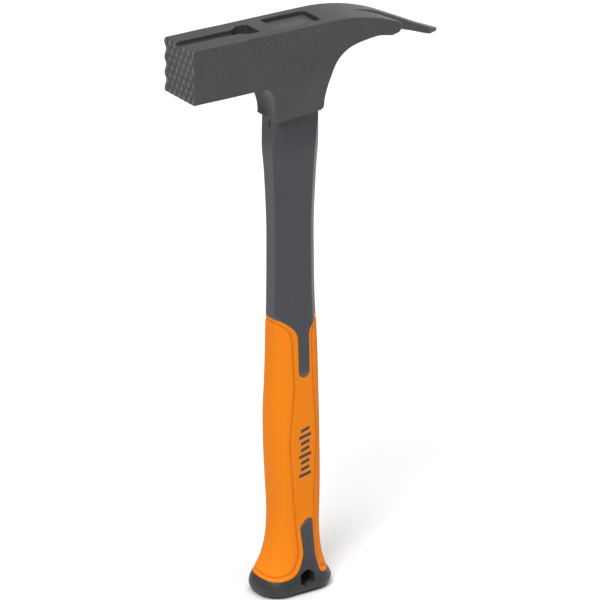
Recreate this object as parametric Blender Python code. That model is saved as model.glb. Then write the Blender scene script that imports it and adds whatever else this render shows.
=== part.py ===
"""Short-handled hammer for masons and roofers: a forged head with a waffle face at -X and an offset claw
at +X, bonded on a fibreglass handle that has a hard jacket and a soft grip.

Metres, +Z up. The origin is the centre of the flat under the butt, and the handle's axis is Z."""

import math

import bmesh
import bpy
from mathutils import Matrix, Vector
from mathutils.geometry import interpolate_bezier

# Overall
TOTAL_HEIGHT = 0.312
GAP = 0.0003  # between pieces that touch
PAST = 0.004  # how far a cutter runs past the surface it opens
SIDE_REACH = 0.030  # half length of a cutter that runs right through, along Y

# Forged head, with depths measured down from its top
HEAD_HALF_WIDTH = 0.0135
FACE_X = -0.0645  # bottom of the valleys between the teeth
POLL_DEPTH = 0.0288  # underside of the striking end
SOCKET_DEPTH = 0.0481
SOCKET_HALF_WIDTH = 0.0110
SOCKET_FRONT_X = -0.0149
SOCKET_REAR_X = 0.0136
HEAD_EDGE = 0.0007  # bevel along the rims of the cheeks
TOP_ARC_START_X = 0.0158
TOP_ARC_RADIUS = 0.1050
TOP_ARC_SWEEP = math.radians(25.5)
CLAW_LIFT = (0.0440, 0.0136)  # where the claw's underside is highest
CLAW_TIP_X = 0.0967
CLAW_EDGE_DEPTH = 0.0276  # underside of the long prong at its tip
CLAW_EDGE_LENGTH = 0.0012

# Bezier curves of the head's side view, as x and depth
THROAT_CURVE = (
    (-0.0255, POLL_DEPTH),
    (-0.0190, POLL_DEPTH),
    (-0.0166, 0.0330),
    (SOCKET_FRONT_X, 0.0430),
)
SOCKET_REAR_CURVE = (
    (SOCKET_REAR_X, 0.0420),
    (0.0166, 0.0168),
    (0.0262, 0.0150),
    CLAW_LIFT,
)
CLAW_UNDER_CURVE = (
    CLAW_LIFT,
    (0.0512, CLAW_LIFT[1]),
    (0.0720, 0.0208),
    (0.0887, 0.0270),
)

# What is cut away beside the two prongs and between them, seen from above: x, y and fillet radius
CLAW_PLAN = (
    (0.1100, -0.0300, 0.0),
    (0.1100, 0.0135, 0.0),
    (0.0964, 0.0120, 0.0004),
    (0.0938, 0.0088, 0.0010),
    (0.0872, 0.0050, 0.0060),
    (0.0500, 0.0043, 0.0300),
    (0.0392, 0.0015, 0.0004),
    (0.0392, 0.0006, 0.0004),
    (0.0500, -0.0026, 0.0100),
    (0.0560, -0.0094, 0.0060),
    (0.0597, -0.0150, 0.0),
    (0.0597, -0.0300, 0.0),
)

# What is cut off under the end of the short prong, in a side view: x, depth and fillet radius
PRONG_CHAMFER = (
    (0.0519, 0.0151, 0.0),
    (0.0572, 0.0138, 0.0030),
    (0.0602, 0.0095, 0.0),
    (0.0640, 0.0095, 0.0),
    (0.0640, 0.0200, 0.0),
    (0.0519, 0.0200, 0.0),
)

# Teeth of the striking face: diamond pyramids on a slanted grid
TOOTH_HEIGHT = 0.0016
TOOTH_HALF_WIDTH = 0.00215
TOOTH_HALF_HEIGHT = 0.0041
TOOTH_CELLS = 18

# Eye, nail groove, nail pocket and magnet
EYE_TOP = (0.0132, 0.0082)  # half lengths along X and Y
EYE_BOTTOM = (0.0124, 0.0087)
EYE_CORNER = 0.0022
GROOVE_HALF_WIDTH = 0.0034
GROOVE_DEPTH = 0.0035
GROOVE_FLOOR_ROUND = 0.0018
POCKET_FRONT_X = -0.0325
POCKET_REAR_X = -0.0220
POCKET_HALF_WIDTH = 0.0064
POCKET_DEPTH = 0.0065
POCKET_TAPER = 0.0035  # length over which it widens from the groove
MAGNET_X = -0.0480
MAGNET_RADIUS = 0.0022
MAGNET_LENGTH = 0.0030
MAGNET_PROUD = 0.0004

# Handle: height, half length to the front and to the rear, half width, chamfer, corner rounding
HANDLE_SECTIONS = (
    (0.0000, 0.0176, 0.0170, 0.0096, 0.0048, 0.0076),
    (0.0006, 0.0199, 0.0192, 0.0118, 0.0061, 0.0098),
    (0.0016, 0.0212, 0.0205, 0.0131, 0.0068, 0.0110),
    (0.0030, 0.0221, 0.0214, 0.0140, 0.0073, 0.0118),
    (0.0050, 0.0225, 0.0217, 0.0145, 0.0076, 0.0124),
    (0.0080, 0.0216, 0.0202, 0.0141, 0.0072, 0.0120),
    (0.0110, 0.0196, 0.0184, 0.0135, 0.0069, 0.0112),
    (0.0150, 0.0171, 0.0169, 0.0128, 0.0065, 0.0105),
    (0.0200, 0.0151, 0.0158, 0.0120, 0.0062, 0.0100),
    (0.0280, 0.0131, 0.0149, 0.0112, 0.0057, 0.0092),
    (0.0380, 0.0121, 0.0146, 0.0107, 0.0054, 0.0085),
    (0.0480, 0.0120, 0.0148, 0.0107, 0.0054, 0.0082),
    (0.0640, 0.0128, 0.0149, 0.0110, 0.0056, 0.0075),
    (0.0800, 0.0135, 0.0146, 0.0111, 0.0056, 0.0072),
    (0.0980, 0.0138, 0.0143, 0.0110, 0.0056, 0.0068),
    (0.1080, 0.0136, 0.0141, 0.0108, 0.0056, 0.0064),
    (0.1150, 0.0131, 0.0139, 0.0107, 0.0055, 0.0060),
    (0.1320, 0.0126, 0.0135, 0.0101, 0.0053, 0.0040),
    (0.1500, 0.0123, 0.0128, 0.0096, 0.0051, 0.0028),
    (0.1640, 0.0121, 0.0121, 0.0092, 0.0050, 0.0015),
    (0.1890, 0.0119, 0.0117, 0.0090, 0.0049, 0.0010),
    (0.2070, 0.0120, 0.0117, 0.0090, 0.0049, 0.0009),
    (0.2330, 0.0129, 0.0127, 0.0099, 0.0052, 0.0008),
    (0.2460, 0.0138, 0.0135, 0.0105, 0.0054, 0.0008),
    (0.2615, 0.0120, 0.0120, 0.0083, 0.0008, 0.0003),
    (0.2652, 0.0120, 0.0120, 0.0083, 0.0008, 0.0003),
)
RING_STEP = 0.0065  # greatest height between two rings of a handle surface
LEAST_CHAMFER = 0.0004
TIP_HALF = (0.0109, 0.0072)  # the stretch of the handle inside the eye
TIP_CORNER = 0.0018
TIP_TOP_DEPTH = 0.0056

# Fibreglass core
CORE_HALF = (0.0072, 0.0043)
CORE_CORNER = 0.0020
CORE_BOTTOM = 0.0260

# Soft grip: its edge in a side view, as x, height and fillet radius
GRIP_THICKNESS = 0.0020
GRIP_SPAN = (0.0040, 0.1620)  # heights between which the grip's outer surface is made
GRIP_TOP_EDGE = (
    (-0.0300, 0.1550, 0.0),
    (-0.0135, 0.1550, 0.0050),
    (-0.0015, 0.1468, 0.0050),
    (-0.0013, 0.1213, 0.0030),
    (0.0050, 0.1213, 0.0030),
    (0.0050, 0.1460, 0.0050),
    (0.0098, 0.1536, 0.0030),
    (0.0300, 0.1536, 0.0),
)
GRIP_BOTTOM_EDGE = (
    (0.0300, 0.0100, 0.0),
    (0.0160, 0.0090, 0.0030),
    (0.0112, 0.0090, 0.0030),
    (0.0085, 0.0200, 0.0060),
    (0.0063, 0.0405, 0.0014),
    (0.0030, 0.0405, 0.0030),
    (-0.0006, 0.0362, 0.0022),
    (0.0006, 0.0220, 0.0070),
    (-0.0060, 0.0110, 0.0080),
    (-0.0300, 0.0112, 0.0),
)

# Hanging hole: a hexagon standing on a corner
HOLE_X = 0.0017
HOLE_HEIGHT = 0.0088
HOLE_RADIUS = 0.0051

# Slot that lets spare adhesive out of the eye, in the front of the jacket
BLEED_HALF_WIDTH = 0.0005
BLEED_DEPTH = 0.0010
BLEED_BOTTOM = 0.2575

# Plug over the end of the handle, in the eye
PLUG_TOP_DEPTH = 0.0021
PLUG_THICKNESS = 0.0030


def clear_scene():
    for thing in list(bpy.data.objects):
        bpy.data.objects.remove(thing, do_unlink=True)


def material(name, colour, roughness, metallic=0.0):
    made = bpy.data.materials.new(name)
    made.use_nodes = True
    shader = made.node_tree.nodes["Principled BSDF"]
    shader.inputs["Base Color"].default_value = (*colour, 1.0)
    shader.inputs["Roughness"].default_value = roughness
    shader.inputs["Metallic"].default_value = metallic
    return made


def to_object(bm, name, finish=None, smooth_under=None):
    """A cutter has no finish, and stays out of the render."""
    bmesh.ops.recalc_face_normals(bm, faces=bm.faces)
    mesh = bpy.data.meshes.new(name)
    bm.to_mesh(mesh)
    bm.free()
    made = bpy.data.objects.new(name, mesh)
    bpy.context.scene.collection.objects.link(made)
    if finish is None:
        made.hide_render = True
        made.display_type = "WIRE"
    else:
        mesh.materials.append(finish)
    if smooth_under is not None:
        mesh.shade_smooth()
        mesh.set_sharp_from_angle(angle=smooth_under)
    return made


def boolean(target, tool, operation="DIFFERENCE"):
    step = target.modifiers.new(tool.name, "BOOLEAN")
    step.object = tool
    step.operation = operation
    step.solver = "EXACT"


def ring(bm, points):
    """A closed loop of edges through the points."""
    verts = [bm.verts.new(point) for point in points]
    return [bm.edges.new((a, b)) for a, b in zip(verts, verts[1:] + verts[:1])]


def loft(rings):
    """A closed body through rings that have the same number of points, bottom ring first."""
    bm = bmesh.new()
    loops = [ring(bm, points) for points in rings]
    for below, above in zip(loops, loops[1:]):
        bmesh.ops.bridge_loops(bm, edges=below + above)
    bmesh.ops.contextual_create(bm, geom=loops[0])
    bmesh.ops.contextual_create(bm, geom=loops[-1])
    return bm


def prism(points, travel):
    """The outline through the points, extruded along travel."""
    bm = bmesh.new()
    face = bm.faces.new([bm.verts.new(point) for point in points])
    grown = bmesh.ops.extrude_face_region(bm, geom=[face])
    moved = [item for item in grown["geom"] if isinstance(item, bmesh.types.BMVert)]
    bmesh.ops.translate(bm, verts=moved, vec=Vector(travel))
    return bm


def filleted(corners, steps=4):
    """The outline through corners (x, y, radius), with each corner turned into an arc of its radius."""
    found = []
    for index, (x, y, radius) in enumerate(corners):
        here = Vector((x, y))
        if radius == 0.0:
            found.append(here)
            continue
        before = (Vector(corners[index - 1][:2]) - here).normalized()
        after = (Vector(corners[(index + 1) % len(corners)][:2]) - here).normalized()
        half = before.angle(after) / 2
        centre = here + (before + after).normalized() * (radius / math.sin(half))
        start = here + before * (radius / math.tan(half)) - centre
        sweep = (math.pi - 2 * half) * (1 if before.cross(after) < 0 else -1)
        for step in range(steps + 1):
            found.append(centre + start @ Matrix.Rotation(-sweep * step / steps, 2))
    return found


def inset_corners(corners, distance):
    """The corners of a clockwise outline after each of its sides has moved inwards by the distance."""
    found = []
    for index, (x, y, radius) in enumerate(corners):
        here = Vector((x, y))
        before = (Vector(corners[index - 1][:2]) - here).normalized()
        after = (Vector(corners[(index + 1) % len(corners)][:2]) - here).normalized()
        moved = here + (before + after) * (distance / before.cross(after))
        found.append((*moved, radius))
    return found


def rounded_box(half_x, half_y, radius, steps=3):
    return filleted(
        [(half_x * i, half_y * j, radius) for i, j in ((1, 1), (-1, 1), (-1, -1), (1, -1))],
        steps,
    )


def handle_outline(front, rear, half_width, chamfer, rounding, inset=0.0):
    """Eight-sided section with rounded corners, 24 points. An inset moves every side inwards."""
    front, rear, half_width = front - inset, rear - inset, half_width - inset
    chamfer = max(chamfer - inset * (2 - math.sqrt(2)), LEAST_CHAMFER)
    rounding = min(rounding, 1.6 * chamfer)  # so that neighbouring arcs stay apart
    corners = []
    for end, side in ((rear, 1), (front, -1)):
        for turn in (-1, 1):
            y = side * turn * half_width
            cut = side * turn * (half_width - chamfer)
            pair = [(side * (end - chamfer), y, rounding), (side * end, cut, rounding)]
            corners += pair if turn < 0 else pair[::-1]
    return filleted(corners, 2)


def eased(low, high, t):
    return low + (high - low) * t


def section_at(height):
    """The handle's section at a height, on a smooth curve through the listed sections."""
    rows = HANDLE_SECTIONS
    place = max(1, next((i for i, row in enumerate(rows) if row[0] >= height), len(rows) - 1))
    low, high = rows[place - 1], rows[place]
    before = rows[max(place - 2, 0)]
    after = rows[min(place + 1, len(rows) - 1)]
    span = high[0] - low[0]
    t = (height - low[0]) / span
    values = []
    for column in range(1, len(low)):
        slope_low = (high[column] - before[column]) / (high[0] - before[0]) * span
        slope_high = (after[column] - low[column]) / (after[0] - low[0]) * span
        values.append(
            (2 * t**3 - 3 * t**2 + 1) * low[column]
            + (t**3 - 2 * t**2 + t) * slope_low
            + (3 * t**2 - 2 * t**3) * high[column]
            + (t**3 - t**2) * slope_high
        )
    return values


def handle_surface(low, high, inset=0.0):
    """Rings up the handle between two heights, at every listed section and in between."""
    stops = [low] + [row[0] for row in HANDLE_SECTIONS if low < row[0] < high] + [high]
    rings = []
    for start, end in zip(stops, stops[1:]):
        count = max(1, math.ceil((end - start) / RING_STEP))
        for step in range(count):
            rings.append(eased(start, end, step / count))
    rings.append(high)
    return [
        [(*point, height) for point in handle_outline(*section_at(height), inset)]
        for height in rings
    ]


def side_points(points, y):
    return [(x, y, height) for x, height in points]


def side_curve(control, steps):
    """A Bezier curve through four control points given as x and depth."""
    points = interpolate_bezier(*(Vector((x, 0, TOTAL_HEIGHT - depth)) for x, depth in control), steps)
    return [(point.x, point.z) for point in points]


def head_outline():
    """The head seen from the side, as (x, height) points."""
    top = TOTAL_HEIGHT
    found = [(FACE_X - TOOTH_HEIGHT, top), (TOP_ARC_START_X, top)]
    for step in range(1, 9):
        angle = TOP_ARC_SWEEP * step / 8
        drop = TOP_ARC_RADIUS * (1 - math.cos(angle))
        found.append((TOP_ARC_START_X + TOP_ARC_RADIUS * math.sin(angle), top - drop))
    arc_x, arc_z = found[-1]
    found.append((CLAW_TIP_X, arc_z - math.tan(TOP_ARC_SWEEP) * (CLAW_TIP_X - arc_x)))
    found.append((CLAW_TIP_X - CLAW_EDGE_LENGTH, top - CLAW_EDGE_DEPTH))
    found += side_curve(CLAW_UNDER_CURVE, 8)[::-1]
    found += side_curve(SOCKET_REAR_CURVE, 12)[-2::-1]
    found += [(SOCKET_REAR_X, top - SOCKET_DEPTH), (SOCKET_FRONT_X, top - SOCKET_DEPTH)]
    found += side_curve(THROAT_CURVE, 8)[::-1]
    found.append((FACE_X - TOOTH_HEIGHT, top - POLL_DEPTH))
    return found


def claw_cutter():
    """Everything beside the long prong and the short one, with the tapered nail slot between them."""
    points = [(p.x, p.y, TOTAL_HEIGHT - SOCKET_DEPTH + PAST) for p in filleted(CLAW_PLAN)]
    return to_object(prism(points, (0, 0, SOCKET_DEPTH)), "claw_cutter")


def prong_cutter():
    """Rounds the lower corner at the end of the short prong, and stays clear of the long one."""
    corners = [(x, TOTAL_HEIGHT - depth, radius) for x, depth, radius in PRONG_CHAMFER]
    points = side_points(filleted(corners), -SIDE_REACH)
    return to_object(prism(points, (0, SIDE_REACH, 0)), "prong_cutter")


def tooth_cutter():
    """Removes the valleys of the face: a slanted grid of four-sided pits, poked outwards at the tips."""
    bm = bmesh.new()
    bmesh.ops.create_grid(bm, x_segments=TOOTH_CELLS, y_segments=TOOTH_CELLS, size=TOOTH_CELLS / 2)
    middle = TOTAL_HEIGHT - POLL_DEPTH / 2
    lattice = Matrix(
        (
            (0, 0, -1, FACE_X),
            (TOOTH_HALF_WIDTH, -TOOTH_HALF_WIDTH, 0, 0),
            (TOOTH_HALF_HEIGHT, TOOTH_HALF_HEIGHT, 0, middle),
            (0, 0, 0, 1),
        )
    )
    bmesh.ops.transform(bm, matrix=lattice, verts=bm.verts)
    border = [edge for edge in bm.edges if edge.is_boundary]
    tips = bmesh.ops.poke(bm, faces=bm.faces)["verts"]
    bmesh.ops.translate(bm, verts=tips, vec=(-TOOTH_HEIGHT, 0, 0))
    skirt = bmesh.ops.extrude_edge_only(bm, edges=border)["geom"]
    rim = [item for item in skirt if isinstance(item, bmesh.types.BMVert)]
    bmesh.ops.translate(bm, verts=rim, vec=(-TOOTH_HEIGHT - PAST, 0, 0))
    bmesh.ops.contextual_create(bm, geom=[edge for edge in bm.edges if edge.is_boundary])
    return to_object(bm, "tooth_cutter")


def eye_points(depth, clearance=0.0):
    """The tapered eye's section at a depth under the head's top, made smaller by the clearance."""
    share = depth / SOCKET_DEPTH
    half_x, half_y = (eased(a, b, share) - clearance for a, b in zip(EYE_TOP, EYE_BOTTOM))
    outline = rounded_box(half_x, half_y, EYE_CORNER - clearance / 2)
    return [(*point, TOTAL_HEIGHT - depth) for point in outline]


def groove_cutter():
    """Open channel along the top of the striking end, with a rounded floor."""
    floor = TOTAL_HEIGHT - GROOVE_DEPTH
    corners = (
        (-GROOVE_HALF_WIDTH, TOTAL_HEIGHT + PAST, 0.0),
        (-GROOVE_HALF_WIDTH, floor, GROOVE_FLOOR_ROUND),
        (GROOVE_HALF_WIDTH, floor, GROOVE_FLOOR_ROUND),
        (GROOVE_HALF_WIDTH, TOTAL_HEIGHT + PAST, 0.0),
    )
    start = FACE_X - TOOTH_HEIGHT - PAST
    points = [(start, p.x, p.y) for p in filleted(corners)]
    travel = (POCKET_FRONT_X + POCKET_TAPER / 2 - start, 0, 0)
    return to_object(prism(points, travel), "groove_cutter")


def pocket_cutter():
    """Deeper recess at the end of the groove, for the head of the nail."""
    corners = (
        (POCKET_REAR_X, -POCKET_HALF_WIDTH, 0.0010),
        (POCKET_REAR_X, POCKET_HALF_WIDTH, 0.0010),
        (POCKET_FRONT_X + POCKET_TAPER, POCKET_HALF_WIDTH, 0.0012),
        (POCKET_FRONT_X, GROOVE_HALF_WIDTH, 0.0008),
        (POCKET_FRONT_X, -GROOVE_HALF_WIDTH, 0.0008),
        (POCKET_FRONT_X + POCKET_TAPER, -POCKET_HALF_WIDTH, 0.0012),
    )
    floor = TOTAL_HEIGHT - POCKET_DEPTH
    points = [(p.x, p.y, floor) for p in filleted(corners)]
    return to_object(prism(points, (0, 0, POCKET_DEPTH + PAST)), "pocket_cutter")


def disc(radius, low, high, segments=32):
    bm = bmesh.new()
    bmesh.ops.create_cone(
        bm, cap_ends=True, segments=segments, radius1=radius, radius2=radius, depth=high - low
    )
    bmesh.ops.translate(bm, verts=bm.verts, vec=(0, 0, (low + high) / 2))
    return bm


def magnet_span():
    """Lowest and highest point of the magnet."""
    high = TOTAL_HEIGHT - GROOVE_DEPTH + MAGNET_PROUD
    return high - MAGNET_LENGTH, high


def magnet_seat():
    low, high = magnet_span()
    bm = disc(MAGNET_RADIUS + GAP, low - GAP, high + PAST)
    bmesh.ops.translate(bm, verts=bm.verts, vec=(MAGNET_X, 0, 0))
    return to_object(bm, "magnet_seat")


def hammer_head(finish):
    bm = prism(side_points(head_outline(), -HEAD_HALF_WIDTH), (0, 2 * HEAD_HALF_WIDTH, 0))
    shoulder = TOTAL_HEIGHT - POLL_DEPTH
    bmesh.ops.bisect_plane(
        bm,
        geom=bm.verts[:] + bm.edges[:] + bm.faces[:],
        dist=0.0000001,
        plane_co=(0, 0, shoulder - 0.0002),
        plane_no=(0, 0, 1),
    )
    narrowing = (HEAD_HALF_WIDTH - SOCKET_HALF_WIDTH) / (SOCKET_DEPTH - POLL_DEPTH)
    for vert in bm.verts:
        below = max(0.0, shoulder - vert.co.z)
        vert.co.y -= math.copysign(below * narrowing, vert.co.y)
    bmesh.ops.recalc_face_normals(bm, faces=bm.faces)
    rims = [edge for edge in bm.edges if edge.calc_face_angle(0) > math.radians(60)
            and any(abs(face.normal.y) > 0.9 for face in edge.link_faces)]
    bmesh.ops.bevel(
        bm, geom=rims, offset=HEAD_EDGE, affect="EDGES", segments=2, profile=0.5, material=-1
    )
    head = to_object(bm, "hammer_head", finish, math.radians(35))
    eye = loft([eye_points(SOCKET_DEPTH + PAST), eye_points(-PAST)])
    for tool in (
        claw_cutter(),
        prong_cutter(),
        tooth_cutter(),
        to_object(eye, "eye_cutter"),
        groove_cutter(),
        pocket_cutter(),
        magnet_seat(),
    ):
        boolean(head, tool)
    return head


def nail_magnet(finish):
    """Modelled about its own axis, then placed in its seat."""
    low, high = magnet_span()
    magnet = to_object(disc(MAGNET_RADIUS, 0, high - low), "nail_magnet", finish, math.radians(35))
    magnet.location = (MAGNET_X, 0, low)
    return magnet


def eye_plug(finish):
    top = PLUG_TOP_DEPTH
    rings = [eye_points(top + PLUG_THICKNESS, GAP), eye_points(top, GAP)]
    return to_object(loft(rings), "eye_plug", finish)


def tip_points(height, clearance=0.0):
    """The handle's section inside the eye."""
    half_x, half_y = (half + clearance for half in TIP_HALF)
    return [(*point, height) for point in rounded_box(half_x, half_y, TIP_CORNER + clearance)]


def tip_top():
    return TOTAL_HEIGHT - TIP_TOP_DEPTH


def eye_bond(finish):
    """Sleeve of set adhesive between the handle and the wall of the eye."""
    jacket_top = HANDLE_SECTIONS[-1][0]
    low, high = jacket_top + GAP, tip_top()
    outer = [eye_points(TOTAL_HEIGHT - height, GAP) for height in (low, high)]
    bond = to_object(loft(outer), "eye_bond", finish)
    inner = [tip_points(height, GAP) for height in (low - PAST, high + PAST)]
    boolean(bond, to_object(loft(inner), "bond_bore"))
    return bond


def core_points(height, clearance=0.0):
    half_x, half_y = (half + clearance for half in CORE_HALF)
    return [(*point, height) for point in rounded_box(half_x, half_y, CORE_CORNER + clearance)]


def handle_core(finish):
    rings = [core_points(height) for height in (CORE_BOTTOM, tip_top())]
    return to_object(loft(rings), "handle_core", finish, math.radians(35))


def grip_prism(name, shrink=0.0):
    """The soft grip's edge, carried right through the handle. A shrink moves every edge inwards."""
    outline = filleted(inset_corners(GRIP_TOP_EDGE + GRIP_BOTTOM_EDGE, shrink))
    return to_object(prism(side_points(outline, -SIDE_REACH), (0, 2 * SIDE_REACH, 0)), name)


def hole_cutter():
    """Six-sided hanging hole through the butt, along Y."""
    points = []
    for step in range(6):
        angle = math.radians(60 * step + 90)
        points.append(
            (HOLE_X + HOLE_RADIUS * math.cos(angle), HOLE_HEIGHT + HOLE_RADIUS * math.sin(angle))
        )
    return to_object(prism(side_points(points, -SIDE_REACH), (0, 2 * SIDE_REACH, 0)), "hole_cutter")


def bleed_cutter():
    front = -HANDLE_SECTIONS[-1][1]
    top = HANDLE_SECTIONS[-1][0] + PAST
    points = [
        (front - PAST, -BLEED_HALF_WIDTH, BLEED_BOTTOM),
        (front - PAST, BLEED_HALF_WIDTH, BLEED_BOTTOM),
        (front - PAST, BLEED_HALF_WIDTH, top),
        (front - PAST, -BLEED_HALF_WIDTH, top),
    ]
    return to_object(prism(points, (PAST + BLEED_DEPTH, 0, 0)), "bleed_cutter")


def handle_jacket(finish):
    """Hard plastic moulded over the core, with a recess for the soft grip."""
    shoulder = HANDLE_SECTIONS[-1][0]
    jacket = to_object(loft(handle_surface(0.0, shoulder)), "handle_jacket", finish, math.radians(30))
    tip = to_object(loft([tip_points(shoulder - PAST), tip_points(tip_top())]), "tip_joiner")
    boolean(jacket, tip, "UNION")
    recess = grip_prism("recess_cutter")
    root = loft(handle_surface(GAP, shoulder - GAP, GRIP_THICKNESS + GAP))
    boolean(recess, to_object(root, "recess_root"))
    boolean(jacket, recess)
    bore = loft([core_points(CORE_BOTTOM - GAP, GAP), core_points(tip_top() + PAST, GAP)])
    boolean(jacket, to_object(bore, "core_bore"))
    boolean(jacket, hole_cutter())
    boolean(jacket, bleed_cutter())
    return jacket


def grip_sleeve(finish):
    """Soft moulding that fills the jacket's recess flush."""
    low, high = GRIP_SPAN
    sleeve = to_object(loft(handle_surface(low, high)), "grip_sleeve", finish, math.radians(30))
    boolean(sleeve, grip_prism("grip_edge", GAP), "INTERSECT")
    bore = loft(handle_surface(low - GRIP_THICKNESS, high + GRIP_THICKNESS, GRIP_THICKNESS))
    boolean(sleeve, to_object(bore, "grip_bore"))
    return sleeve


def main():
    clear_scene()
    steel = material("forged_steel", (0.075, 0.076, 0.078), 0.55, 0.35)
    plastic = material("grey_plastic", (0.070, 0.073, 0.078), 0.50)
    hammer_head(steel)
    nail_magnet(material("magnet_metal", (0.45, 0.40, 0.34), 0.35, 1.0))
    eye_plug(plastic)
    eye_bond(material("adhesive", (0.30, 0.27, 0.20), 0.40))
    handle_core(material("fibreglass", (0.62, 0.60, 0.48), 0.45))
    handle_jacket(plastic)
    grip_sleeve(material("soft_rubber", (0.82, 0.26, 0.02), 0.60))


main()
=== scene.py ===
import math

import bmesh
import bpy
import numpy as np
from mathutils import Matrix, Vector
from mathutils.geometry import interpolate_bezier


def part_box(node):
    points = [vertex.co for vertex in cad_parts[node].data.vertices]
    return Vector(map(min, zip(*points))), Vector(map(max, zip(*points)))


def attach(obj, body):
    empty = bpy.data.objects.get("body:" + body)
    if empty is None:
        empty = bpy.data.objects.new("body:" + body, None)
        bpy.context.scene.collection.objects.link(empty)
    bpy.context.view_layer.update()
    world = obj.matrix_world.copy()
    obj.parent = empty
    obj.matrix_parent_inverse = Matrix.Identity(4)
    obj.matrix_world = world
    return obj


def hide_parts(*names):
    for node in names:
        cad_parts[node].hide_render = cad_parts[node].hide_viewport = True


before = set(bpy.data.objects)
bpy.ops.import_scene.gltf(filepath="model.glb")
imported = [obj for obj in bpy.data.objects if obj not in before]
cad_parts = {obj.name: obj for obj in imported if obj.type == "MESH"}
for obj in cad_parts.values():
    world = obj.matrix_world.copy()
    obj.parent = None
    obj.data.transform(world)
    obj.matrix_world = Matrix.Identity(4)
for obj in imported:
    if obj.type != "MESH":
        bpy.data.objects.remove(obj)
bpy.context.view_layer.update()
headLow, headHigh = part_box("hammer_head")
top = headHigh.z  # the flat top of the head, from which its depths are measured
past = 0.004  # how far a cutter runs past the surface that it opens
seam = 0.00005  # clearance between two pieces that fit each other
near = 0.0001  # points this close to a level count as on it
reachAcross = 0.030  # half width of a cutter that crosses the whole tool


def addObject(bm, name):
    # turns a finished bmesh into an object, with its faces outwards
    bmesh.ops.recalc_face_normals(bm, faces=bm.faces)
    mesh = bpy.data.meshes.new(name)
    bm.to_mesh(mesh)
    bm.free()
    made = bpy.data.objects.new(name, mesh)
    bpy.context.scene.collection.objects.link(made)
    return made


def addBoolean(target, tool, operation="DIFFERENCE"):
    step = target.modifiers.new(tool.name, "BOOLEAN")
    step.object = tool
    step.operation = operation
    step.solver = "EXACT"


def applyAll(made, cutters=()):
    graph = bpy.context.evaluated_depsgraph_get()
    mesh = bpy.data.meshes.new_from_object(made.evaluated_get(graph), depsgraph=graph)
    mesh.name = made.name
    made.modifiers.clear()
    made.data = mesh
    for cutter in cutters:
        bpy.data.objects.remove(cutter)


def cutAway(made, cutters, operation="DIFFERENCE"):
    for cutter in cutters:
        addBoolean(made, cutter, operation)
    applyAll(made, cutters)


def dress(piece, finish, slot, *nodes, sharpOver=None):
    piece.data.materials.clear()
    piece.data.materials.append(finish)
    piece.data.shade_smooth()
    if sharpOver is not None:
        piece.data.set_sharp_from_angle(angle=math.radians(sharpOver))
    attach(piece, "root")
    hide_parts(*nodes)
    return piece


def filleted(corners, steps=8):
    # each corner is x, y and the radius of its arc
    found = []
    for index, (x, y, radius) in enumerate(corners):
        here = Vector((x, y))
        if radius == 0.0:
            found.append(here)
            continue
        before = (Vector(corners[index - 1][:2]) - here).normalized()
        after = (Vector(corners[(index + 1) % len(corners)][:2]) - here).normalized()
        half = before.angle(after) / 2
        centre = here + (before + after).normalized() * (radius / math.sin(half))
        start = here + before * (radius / math.tan(half)) - centre
        sweep = (math.pi - 2 * half) * (1 if before.cross(after) < 0 else -1)
        for step in range(steps + 1):
            found.append(centre + start @ Matrix.Rotation(-sweep * step / steps, 2))
    return found


def insetCorners(corners, distance):
    # moves each side of a clockwise outline inwards
    found = []
    for index, (x, y, radius) in enumerate(corners):
        here = Vector((x, y))
        before = (Vector(corners[index - 1][:2]) - here).normalized()
        after = (Vector(corners[(index + 1) % len(corners)][:2]) - here).normalized()
        moved = here + (before + after) * (distance / before.cross(after))
        found.append((*moved, radius))
    return found


def roundedBox(halfX, halfY, radius, steps=8):
    signs = ((1, 1), (-1, 1), (-1, -1), (1, -1))
    return filleted([(halfX * signX, halfY * signY, radius) for signX, signY in signs], steps)


def loft(rings):
    # extrudes a loop of edges from each section to the next, and closes both ends
    bm = bmesh.new()
    verts = [bm.verts.new(point) for point in rings[0]]
    loop = [bm.edges.new(pair) for pair in zip(verts, verts[1:] + verts[:1])]
    bmesh.ops.contextual_create(bm, geom=loop)
    for points in rings[1:]:
        grown = bmesh.ops.extrude_edge_only(bm, edges=loop)["geom"]
        fresh = {item for item in grown if isinstance(item, bmesh.types.BMVert)}
        above = []
        for vert, point in zip(verts, points):
            ends = (edge.other_vert(vert) for edge in vert.link_edges)
            above.append(next(end for end in ends if end in fresh))
            above[-1].co = point
        verts = above
        loop = [bm.edges.get(pair) for pair in zip(verts, verts[1:] + verts[:1])]
    bmesh.ops.contextual_create(bm, geom=loop)
    return bm


def prism(points, travel):
    bm = bmesh.new()
    face = bm.faces.new([bm.verts.new(point) for point in points])
    grown = bmesh.ops.extrude_face_region(bm, geom=[face])
    moved = [item for item in grown["geom"] if isinstance(item, bmesh.types.BMVert)]
    bmesh.ops.translate(bm, verts=moved, vec=Vector(travel))
    return bm


def sidePrism(outline, halfDepth):
    # an outline of x and height, carried through along Y
    return prism([(point[0], -halfDepth, point[1]) for point in outline], (0, 2 * halfDepth, 0))


def vertexArrays(mesh):
    places = np.empty(len(mesh.vertices) * 3, np.float32)
    normals = np.empty(len(mesh.vertices) * 3, np.float32)
    mesh.vertices.foreach_get("co", places)
    mesh.vertex_normals.foreach_get("vector", normals)
    return places.reshape(-1, 3), normals.reshape(-1, 3)


def storeMask(mesh, name, values):
    mask = mesh.attributes.new(name, "FLOAT", "POINT")
    mask.data.foreach_set("value", np.ascontiguousarray(values, np.float32))


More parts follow.
